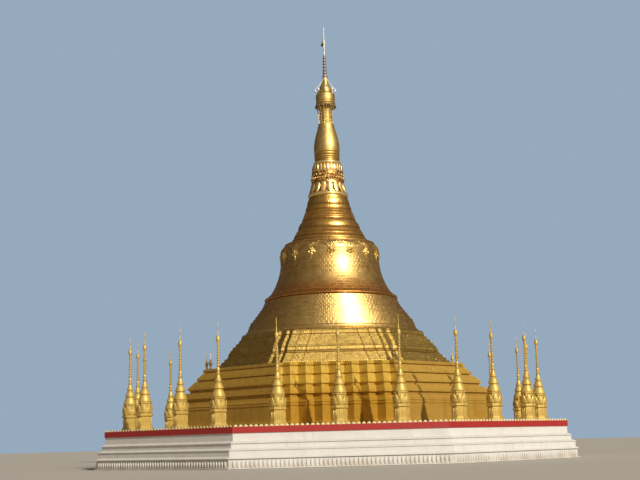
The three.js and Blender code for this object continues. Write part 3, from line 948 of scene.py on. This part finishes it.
def shoulder_pendants():
    """Sixteen pendants where the arches meet: a flower with a boss, two smaller ones beside and one
    under it, a hanging leaf and a bead."""
    def hung(shell, below, aside=0.0, proud=0.0):
        level = SWAG_FOOT + below
        return shell.moved(wall_radius(level) + proud, aside, level)

    side_flower = rosette(0.13, 0.07, 4, sides=24)
    pendant = joined(
        hung(rosette(0.28, 0.11, 6), 0.20),
        hung(bead(0.08), 0.20, proud=0.07),
        hung(side_flower, 0.02, 0.25),
        hung(side_flower, 0.02, -0.25),
        hung(rosette(0.14, 0.08, 5, sides=30), -0.12),
        hung(leaf(0.28, 0.15, 0.10, 0.02).drooping(), -0.16),
        hung(bead(0.045), -0.48),
    )
    add_piece("shoulder_pendants", around(pendant, evenly(PENDANTS) - np.pi / 2), CROWN_GOLD)


def cone_of_rings():
    """Rounded rings that shrink upwards with a shallow groove under each, two of them lined, and a
    plain band on top. Radius = top + (foot - top)(1 - s)^1.45 at share s of the cone's height."""
    low, high = bottom("ringed_cone"), top("ringed_cone")
    wide, narrow = reach("ringed_cone"), reach("neck_band") - 0.03
    grooves = low + np.array([0.0, 0.40, 1.14, 1.90, 2.82, 3.31])
    lines = {1: [0.50], 3: [0.24, 0.50, 0.74]}

    def cone_radius(level):
        return narrow + (wide - narrow) * (1 - (level - low) / (high - low)) ** CONE_FLARE

    marks = [(wide - 0.05, low)]
    for ring, (level, upper) in enumerate(zip(grooves, grooves[1:])):
        r = cone_radius(level)
        marks += [(r - 0.09, level + 0.02), (r - 0.09, level + 0.06), (r - 0.01, level + 0.08)]
        for share in lines.get(ring, []):
            at = level + (upper - level) * share
            r = cone_radius(at)
            marks += [(r + 0.05, at - 0.03, 0.06), (r + 0.02, at), (r + 0.05, at + 0.03)]
        marks.append((cone_radius(upper) + 0.01, upper, 0.05 if ring in lines else 0.10))
    last, head = cone_radius(grooves[-1]), grooves[-1]
    marks += [(last - 0.07, head + 0.02), (last - 0.07, head + 0.05), (last, head + 0.07),
              (narrow + 0.01, high - 0.02, 0.02), (narrow, high)]
    turned_piece("cone_rings", outline(*marks), RING_GOLD, "ringed_cone")


def lotus():
    """Neck, bead mouldings and two rows of petals, one pointing down and one up."""
    neck = by_rise(
        "neck_band", (0.05, 0.0), (0.14, 0.32, -0.02), (0.18, 0.34), (0.16, 0.36), (0.17, 0.57),
        (0.24, 0.60), (0.30, 0.64), (0.34, height("neck_band")))
    turned_piece("neck_moulding", neck, RING_GOLD, "neck_band")
    lower_torus = hoop(reach("neck_band") - 0.22, bottom("neck_band") + 0.48, 0.16, 12)
    upper_torus = hoop(1.08, UPPER_TORUS_LEVEL, 0.15, 12)
    add_piece("lotus_tori", joined(lower_torus, upper_torus), PALE_GILT)

    low = bottom("lotus_petals_down")
    core = outline(
        (1.50, low - 0.10), (1.38, low), (1.32, low + 0.62, 0.02), (1.44, low + 0.66), (1.45, low + 0.76),
        (1.42, top("lotus_petals_down")))
    turned_piece("lotus_hanging_core", core, RING_GOLD, "lotus_petals_down")
    petal = leaf(0.90, 0.52, 0.22, 0.26, rows=10, sides=10, point=0.45).drooping()
    hanging = ring_of(petal, 1.42, low + 0.74, HANGING_PETALS, np.pi / 32)
    add_piece("lotus_petals_hanging", hanging, PETAL_GOLD)

    low = bottom("lotus_bead_band")
    core = outline(
        (1.43, low - 0.12), (1.42, low + 0.02), (1.48, low + 0.06), (1.46, low + 0.12, 0.2),
        (1.38, low + 0.14), (1.38, low + 0.20), (1.42, low + 0.40, 0.06), (1.37, low + 0.44),
        (1.38, low + 0.74, 0.05), (1.42, low + 0.78), (1.40, top("lotus_bead_band")))
    turned_piece("lotus_relief_band", core, RELIEF_GOLD, "lotus_bead_band")
    beads = ring_of(bead(0.085), 1.44, low + 0.28, LOTUS_BEADS)
    studs = ring_of(rosette(0.10, 0.07, 4, sides=16), 1.38, low + 0.60, LOTUS_STUDS)
    add_piece("lotus_beads", joined(beads, studs), CROWN_GOLD)

    low = bottom("lotus_petals_up")
    core = outline(
        (1.36, low - 0.06), (1.30, low - 0.04), (1.24, low + 0.10), (1.22, low + 0.56), (1.20, low + 0.62),
        (1.12, low + 0.66), (1.14, low + 0.69), (1.12, low + 0.97), (1.06, low + 1.00),
        (1.06, top("lotus_petals_up")))
    turned_piece("lotus_rising_core", core, RING_GOLD, "lotus_petals_up")
    petal = leaf(0.76, 0.37, 0.20, -0.05, rows=10, sides=10, point=0.35)
    rising = ring_of(petal, 1.30, low - 0.08, RISING_PETALS)
    add_piece("lotus_petals_rising", rising, PETAL_GOLD)


def bud_and_column():
    """The bud over its rings, and the column above it. The bud's radius at share s from its belly
    up is neck + (belly - neck)(cos(pi s) / 2 + 1 / 2)^0.62."""
    low, high, wide = bottom("bud"), top("bud"), reach("bud")
    s = np.linspace(0, 1, 22)
    belly, head, neck = low + 1.0, high - 0.16, 0.70
    radius = neck + (wide - neck) * (np.cos(np.pi * s) * 0.5 + 0.5) ** 0.62
    body = np.stack([radius, belly + (head - belly) * s], -1)
    rings = by_rise(
        "bud", (0.06, 0.0), (0.04, 0.12, 0.12), (0.08, 0.14), (0.04, 0.17), (0.04, 0.34, 0.12), (0.08, 0.36),
        (0.04, 0.39), (0.03, 0.60, 0.10), (0.06, 0.63), (0.02, 0.68), (0.0, 1.0))
    collar = outline((neck, head), (neck - 0.02, high - 0.10), (neck - 0.06, high - 0.08), (0.58, high))
    turned_piece("bud_body", np.concatenate([rings, body[1:], collar[1:]]), BUD_GOLD, "bud")
    tall = height("crown_column")
    shaft = by_rise(
        "crown_column", (0.0, 0.0), (0.0, 0.10), (0.03, 0.12), (0.03, 0.5), (0.0, 0.52), (0.0, 0.62),
        (0.03, 0.64), (0.02, tall - 0.3), (-0.06, tall))
    turned_piece("column_shaft", shaft, BUD_GOLD, "crown_column", CROWN_SIDES)


def crown():
    """The domed rim with an openwork fringe of bells, and beaded chains hanging along the column."""
    low, wide = bottom("crown_rim"), reach("crown_rim")
    dome = by_rise(
        "crown_rim", (0.16, 0.0), (0.10, 0.04), (0.02, 0.30), (0.02, 0.36), (0.06, 0.40), (0.02, 0.46),
        (0.02, 0.52), (0.05, 0.56), (0.03, 1.02, 0.04), (0.14, 1.36, 0.14), (0.22, 1.39), (0.25, 1.44),
        (0.26, height("crown_rim")))
    turned_piece("crown_dome", dome, BUD_GOLD, "crown_rim", CROWN_SIDES)
    fringe = ring_of(bell_drop(0.30), wide - 0.03, low + 0.34, FRINGE_BELLS)
    hoops = [hoop(wide - 0.02, low + 0.34, 0.022, 6), hoop(wide - 0.05, low + 0.12, 0.022, 6)]
    add_piece("crown_fringe", joined(fringe, *hoops), DARK_BRONZE_AND_SHADE)

    foot, head = bottom("crown_column") + 0.06, low + 0.10
    s = np.linspace(0, 1, 13)
    chain = np.stack([0.84 - 0.20 * s - 0.05 * np.sin(np.pi * s), np.zeros(13), head + (foot - head) * s], -1)
    beads = [bead(0.035, 6, 4).moved(*spot) for spot in chain[1::2]]
    string = joined(tube(chain, 0.014, 5, away=(0, 1, 0)), *beads, bell_drop(0.15).moved(*chain[-1]))
    add_piece("crown_chains", around(string, evenly(CROWN_CHAINS)), CROWN_GOLD)


def crown_cone():
    """The cone, and eight stays with bells that curve out over it: a stay lies 0.70 s^1.5 further
    out and s lower at share s of its way."""
    high = top("crown_cone")
    cone = by_rise(
        "crown_cone", (0.02, 0.0), (0.01, 0.04), (0.04, 0.06), (0.10, 0.30), (0.44, 1.30, -0.045),
        (0.42, 1.33), (0.45, height("crown_cone")))
    turned_piece("cone_cap", cone, CROWN_GOLD, "crown_cone", CONE_SIDES)
    s = np.linspace(0, 1, 12)
    stay = np.stack([0.19 + 0.70 * s ** 1.5, np.zeros(12), high - 0.05 - 1.00 * s], -1)
    arm = joined(tube(stay, 0.017, 6, away=(0, 1, 0)), bell_drop(0.30).moved(*stay[-1]))
    add_piece("crown_stays", around(arm, EIGHT_FACES), SILVERED)


def rod_and_tip():
    """The ringed rod, thinner towards the vane, and the diamond bud at the tip."""
    low, high = bottom("finial_rod"), top("finial_rod")
    seat = bottom("vane")
    marks = [(0.19, low), (0.22, low + 0.03), (0.22, low + 0.12, 0.2), (0.15, low + 0.15), (0.14, low + 0.22)]
    for ring in range(ROD_RINGS):
        base = low + 0.26 + ring * 0.29
        thick = 0.165 - ring * 0.008
        marks += [(thick - 0.04, base), (thick, base + 0.05, 0.1), (thick - 0.005, base + 0.20, 0.25),
                  (thick - 0.05, base + 0.24)]
    marks += [(0.085, low + 2.06), (0.085, low + 2.14)]
    rings = outline(*marks, steps=5)
    turned_piece("finial_rod_rings", rings, ROSE_METAL, "finial_rod", ROD_SIDES)
    stop = top("vane") + 0.012
    thin = outline(
        (0.085, low + 2.14), (0.070, low + 2.16), (0.060, seat - 0.14), (0.085, seat - 0.08), (0.085, seat),
        (0.045, seat), (0.045, stop), (0.075, stop + 0.03, 0.2), (0.035, stop + 0.08), (0.030, high - 0.60),
        (0.05, high - 0.57, 0.3), (0.035, high - 0.53), (0.035, high - 0.48), (0.085, high - 0.34, -0.05),
        (0.03, high - 0.16, -0.05), (0.012, high), steps=5)
    add_piece("finial_rod_tip", turned(thin, TIP_SIDES), SILVERED)


def vane():
    """The vane: a hollow ringed sleeve round the rod, and a pennant with a scalloped edge held by
    it. The pennant's upper and lower edges are sums of a slope and a row of small waves."""
    low, high = bottom("vane"), top("vane")
    seat_gap, bore = 0.004, 0.055
    rest = low + seat_gap
    sleeve = outline(
        (bore, rest), (0.09, rest), (0.105, low + 0.04, 0.3), (0.08, low + 0.09), (0.08, low + 0.30),
        (0.10, low + 0.34), (0.10, low + 0.52, 0.2), (0.08, low + 0.56), (0.08, high - 0.09),
        (0.105, high - 0.05, 0.3), (0.09, high), (bore, high), (bore, rest), steps=4)
    x_far, y_far = BOX["vane"][0].x, BOX["vane"][1].y
    root = 0.06
    tip = math.hypot(x_far, y_far) - 0.03
    s = np.linspace(0, 1, 26)[:, None]
    middle = low + 0.50 + 0.03 * s
    half = (0.26 - 0.20 * s ** 1.4) * (1 + 0.10 * np.abs(np.sin(np.pi * 5 * s))) * (s < 0.999) + 0.004
    across = np.linspace(-1, 1, 7)[None, :]
    thick = 0.012 + 0.010 * np.cos(np.pi * across * 1.5) ** 2 * (1 - s)
    out = np.broadcast_to(root + (tip - root) * s, thick.shape)
    face = np.stack([out, thick, middle + half * across], -1)
    back = face[:, ::-1] * np.array([1, -1, 1])
    flag = woven(np.concatenate([face, back], 1)[:, ::-1])
    heading = turned_by(np.array([math.atan2(y_far, x_far)]))[0]
    sleeve = turned(sleeve, TIP_SIDES, hollow=True)
    # The cream sleeve and the dark pennant are a lit and a shaded copy of one metal: painted light and
    # painted shade.
    add_piece("vane_sleeve", sleeve, PAINTED_LIT_METAL, ["vane"], body="vane")
    add_piece("vane_pennant", flag.shaped(lambda p: p @ heading.T), DARK_BRONZE_AND_SHADE, body="vane")


def small_stupa_shell():
    """One small stupa at the origin: a stepped base with ribs and gables, swept round an octagon,
    then a spire of stacked cones, a bead, rings, a bulb and a rod, all turned."""
    base = swept(octagon, outline(
        (0.70, 0.0), (0.70, 0.14), (0.66, 0.16), (0.64, 0.24, 0.2), (0.58, 0.28), (0.57, 0.38), (0.51, 0.40),
        (0.50, 1.10), (0.56, 1.14), (0.60, 1.22, 0.2), (0.60, 1.34), (0.50, 1.40), (0.55, 1.44),
        (0.51, 1.78, 0.05), (0.47, 1.82), (0.47, 2.10), (0.53, 2.14), (0.53, 2.20), (0.46, 2.21),
        (0.46, 2.25)), 0.25, 0.2)
    rib = leaf(0.66, 0.11, 0.10, 0.0, rows=4, sides=6)
    ribs = [rib.moved(0.50, aside, 0.42) for aside in (-0.15, 0.0, 0.15)]
    gable = leaf(0.62, 0.40, 0.14, 0.02, point=0.9).moved(0.55, 0.0, 1.42)
    shaft = turned(outline(
        (0.44, 2.19), (0.44, 2.24), (0.53, 2.27), (0.525, 2.32, 0.2), (0.36, 2.75, 0.01), (0.31, 2.78),
        (0.31, 2.83), (0.40, 2.87), (0.395, 2.92, 0.2), (0.24, 3.28, 0.01), (0.20, 3.31), (0.20, 3.36),
        (0.27, 3.40), (0.265, 3.45, 0.2), (0.13, 3.82, -0.05), (0.11, 3.85), (0.11, 3.88), (0.155, 3.92),
        (0.155, 3.99, 0.3), (0.10, 4.03), (0.09, 4.07), (0.115, 4.17, 0.12), (0.10, 4.36, 0.12), (0.07, 4.43),
        steps=4), TIP_SIDES)
    rings = [(0.07, 4.43)]
    for ring in range(SPIRE_RINGS):
        level, thick = 4.47 + ring * 0.20, 0.105 - ring * 0.004
        groove = thick - 0.035
        rings += [(thick, level + 0.03), (thick, level + 0.11, 0.4), (groove, level + 0.15),
                  (groove, level + 0.19)]
    crest = turned(outline(
        *rings, (0.065, 5.90), (0.09, 5.96), (0.085, 6.16), (0.10, 6.22), (0.07, 6.26), (0.12, 6.34, 0.1),
        (0.145, 6.50, 0.1), (0.11, 6.68, 0.1), (0.05, 6.76, -0.1), (0.06, 6.80), (0.032, 6.86), (0.024, 7.32),
        (0.045, 7.38), (0.02, 7.44), (0.015, 7.80), steps=4), FINIAL_SIDES)
    return joined(base, around(joined(*ribs, gable), EIGHT_FACES), shaft, crest)


def small_stupas():
    """The ring of small stupas, each in the place of its node and square to its face."""
    shell = small_stupa_shell()
    face_turn = np.pi / 4
    names = sorted(name for name in BOX if name.startswith("small_stupa_"))
    for place, name in enumerate(names):
        foot = foot_of(name)
        facing = round(math.atan2(foot[1], foot[0]) / face_turn) * face_turn
        stupa = copies(shell, turned_by(np.array([facing])), foot[None])
        stupa.pattern += len(name) + 3.0 * place
        add_piece(f"{name}_carved", stupa, STUPA_PAINT, [name])


def corner_finials():
    """A small turned finial beside each corner of the upper terrace: a bulb on a stem, darkened as
    painted shade, with a thin pale spike."""
    bulb = turned(outline(
        (0.17, 0.0), (0.17, 0.05), (0.10, 0.09), (0.075, 0.20, -0.1), (0.075, 0.26), (0.11, 0.29),
        (0.08, 0.32), (0.155, 0.46, 0.12), (0.13, 0.62, 0.12), (0.055, 0.72, -0.1), (0.07, 0.76),
        (0.045, 0.80), (0.03, 0.84), steps=4), FINIAL_SIDES)
    spike = outline((0.028, 0.80), (0.024, 1.10), (0.036, 1.13), (0.02, 1.17), (0.012, 1.33), steps=4)
    spike = turned(spike, SPIKE_SIDES)
    for name in sorted(name for name in BOX if name.startswith("corner_finial_")):
        foot = foot_of(name)
        add_piece(f"{name}_bulb", bulb.moved(*foot), SHADE_DARKENED_BRASS, [name])
        add_piece(f"{name}_spike", spike.moved(*foot), SILVERED)


def pale_floor():
    half, level = FLOOR_HALF_WIDTH, FLOOR_LEVEL
    corners = [(-half, -half, level), (half, -half, level), (-half, half, level), (half, half, level)]
    mesh = bpy.data.meshes.new("floor")
    mesh.from_pydata(corners, [], [(0, 1, 3, 2)])
    ground = Finish("studio_floor", Roughness=0.9)
    ground.feed(Base_Color=ground.mixed(ground.noise(0.05, 2.0), (0.44, 0.42, 0.38), (0.48, 0.45, 0.41)))
    mesh.materials.append(ground.material)
    floor = put("floor", mesh)


def pointing(heading, climb):
    """A step of one metre along a compass heading, from +Y towards +X, and up by an angle."""
    level = math.cos(climb)
    return np.array([math.sin(heading) * level, math.cos(heading) * level, math.sin(climb)])


def studio_light():
    """A warm sun, soft light that is strongest round the sun, and a plain pale background."""
    toward_sun = pointing(math.pi - SUN_BEARING, SUN_HEIGHT)
    light = bpy.data.lights.new("sun", "SUN")
    light.energy = SUN_STRENGTH
    light.angle = SUN_SPREAD
    light.color = (1.0, 0.95, 0.85)
    sun = put("sun", light)
    sun.rotation_euler = (math.pi / 2 - SUN_HEIGHT, 0, SUN_BEARING)
    sun.location = toward_sun * SUN_DISTANCE

    world = bpy.data.worlds.new("studio")
    bpy.context.scene.world = world
    world.use_nodes = True
    world.node_tree.nodes.clear()
    sky = Nodes(world.node_tree)
    direction = sky.place("Generated")
    facing = sky.node("ShaderNodeVectorMath", {"operation": "DOT_PRODUCT"}, [direction, toward_sun], "Value")
    stops = [(0.30, (0.094, 0.076, 0.068)), (0.52, (0.150, 0.130, 0.108)), (0.95, (0.360, 0.330, 0.285))]
    glow = sky.node("ShaderNodeValToRGB", {"stops": stops}, [facing.math("MULTIPLY_ADD", 0.5, 0.5)])
    soft_light = sky.node("ShaderNodeBackground", None, [glow])
    seen = sky.node("ShaderNodeBackground", None, [(0.305, 0.402, 0.515)])
    is_background = sky.node("ShaderNodeLightPath").part("Is Camera Ray")
    pick = sky.node("ShaderNodeMixShader", None, [is_background, soft_light, seen])
    sky.node("ShaderNodeOutputWorld", None, [pick])
    bpy.context.scene.view_settings.view_transform = "Standard"


def camera():
    """The photograph's view. forward points along heading and pitch, and roll turns right and up."""
    data = bpy.data.cameras.new("camera")
    data.sensor_width = SENSOR_WIDTH_MM
    data.lens = FOCAL_PIXELS * SENSOR_WIDTH_MM / PICTURE_WIDTH_PIXELS
    data.clip_start, data.clip_end = 1.0, 2000.0
    held = put("camera", data)
    forward = pointing(CAMERA_HEADING, CAMERA_PITCH)
    level_right = np.array([math.cos(CAMERA_HEADING), -math.sin(CAMERA_HEADING), 0.0])
    level_up = np.cross(level_right, forward)
    right = level_right * math.cos(CAMERA_ROLL) + level_up * math.sin(CAMERA_ROLL)
    up = level_up * math.cos(CAMERA_ROLL) - level_right * math.sin(CAMERA_ROLL)
    turn = np.eye(4)
    turn[:3, :3] = np.stack([right, up, -forward], 1)
    turn[:3, 3] = [-CAMERA_DISTANCE * math.sin(CAMERA_BEARING), -CAMERA_DISTANCE * math.cos(CAMERA_BEARING),
                   CAMERA_HEIGHT]
    held.matrix_world = Matrix(turn.tolist())
    bpy.context.scene.camera = held


plinth()
terraces()
octagonal_band()
octagon_dentils()
bell()
shoulder_collar()
shoulder_pendants()
cone_of_rings()
lotus()
bud_and_column()
crown()
crown_cone()
rod_and_tip()
vane()
small_stupas()
corner_finials()
pale_floor()
studio_light()
camera()
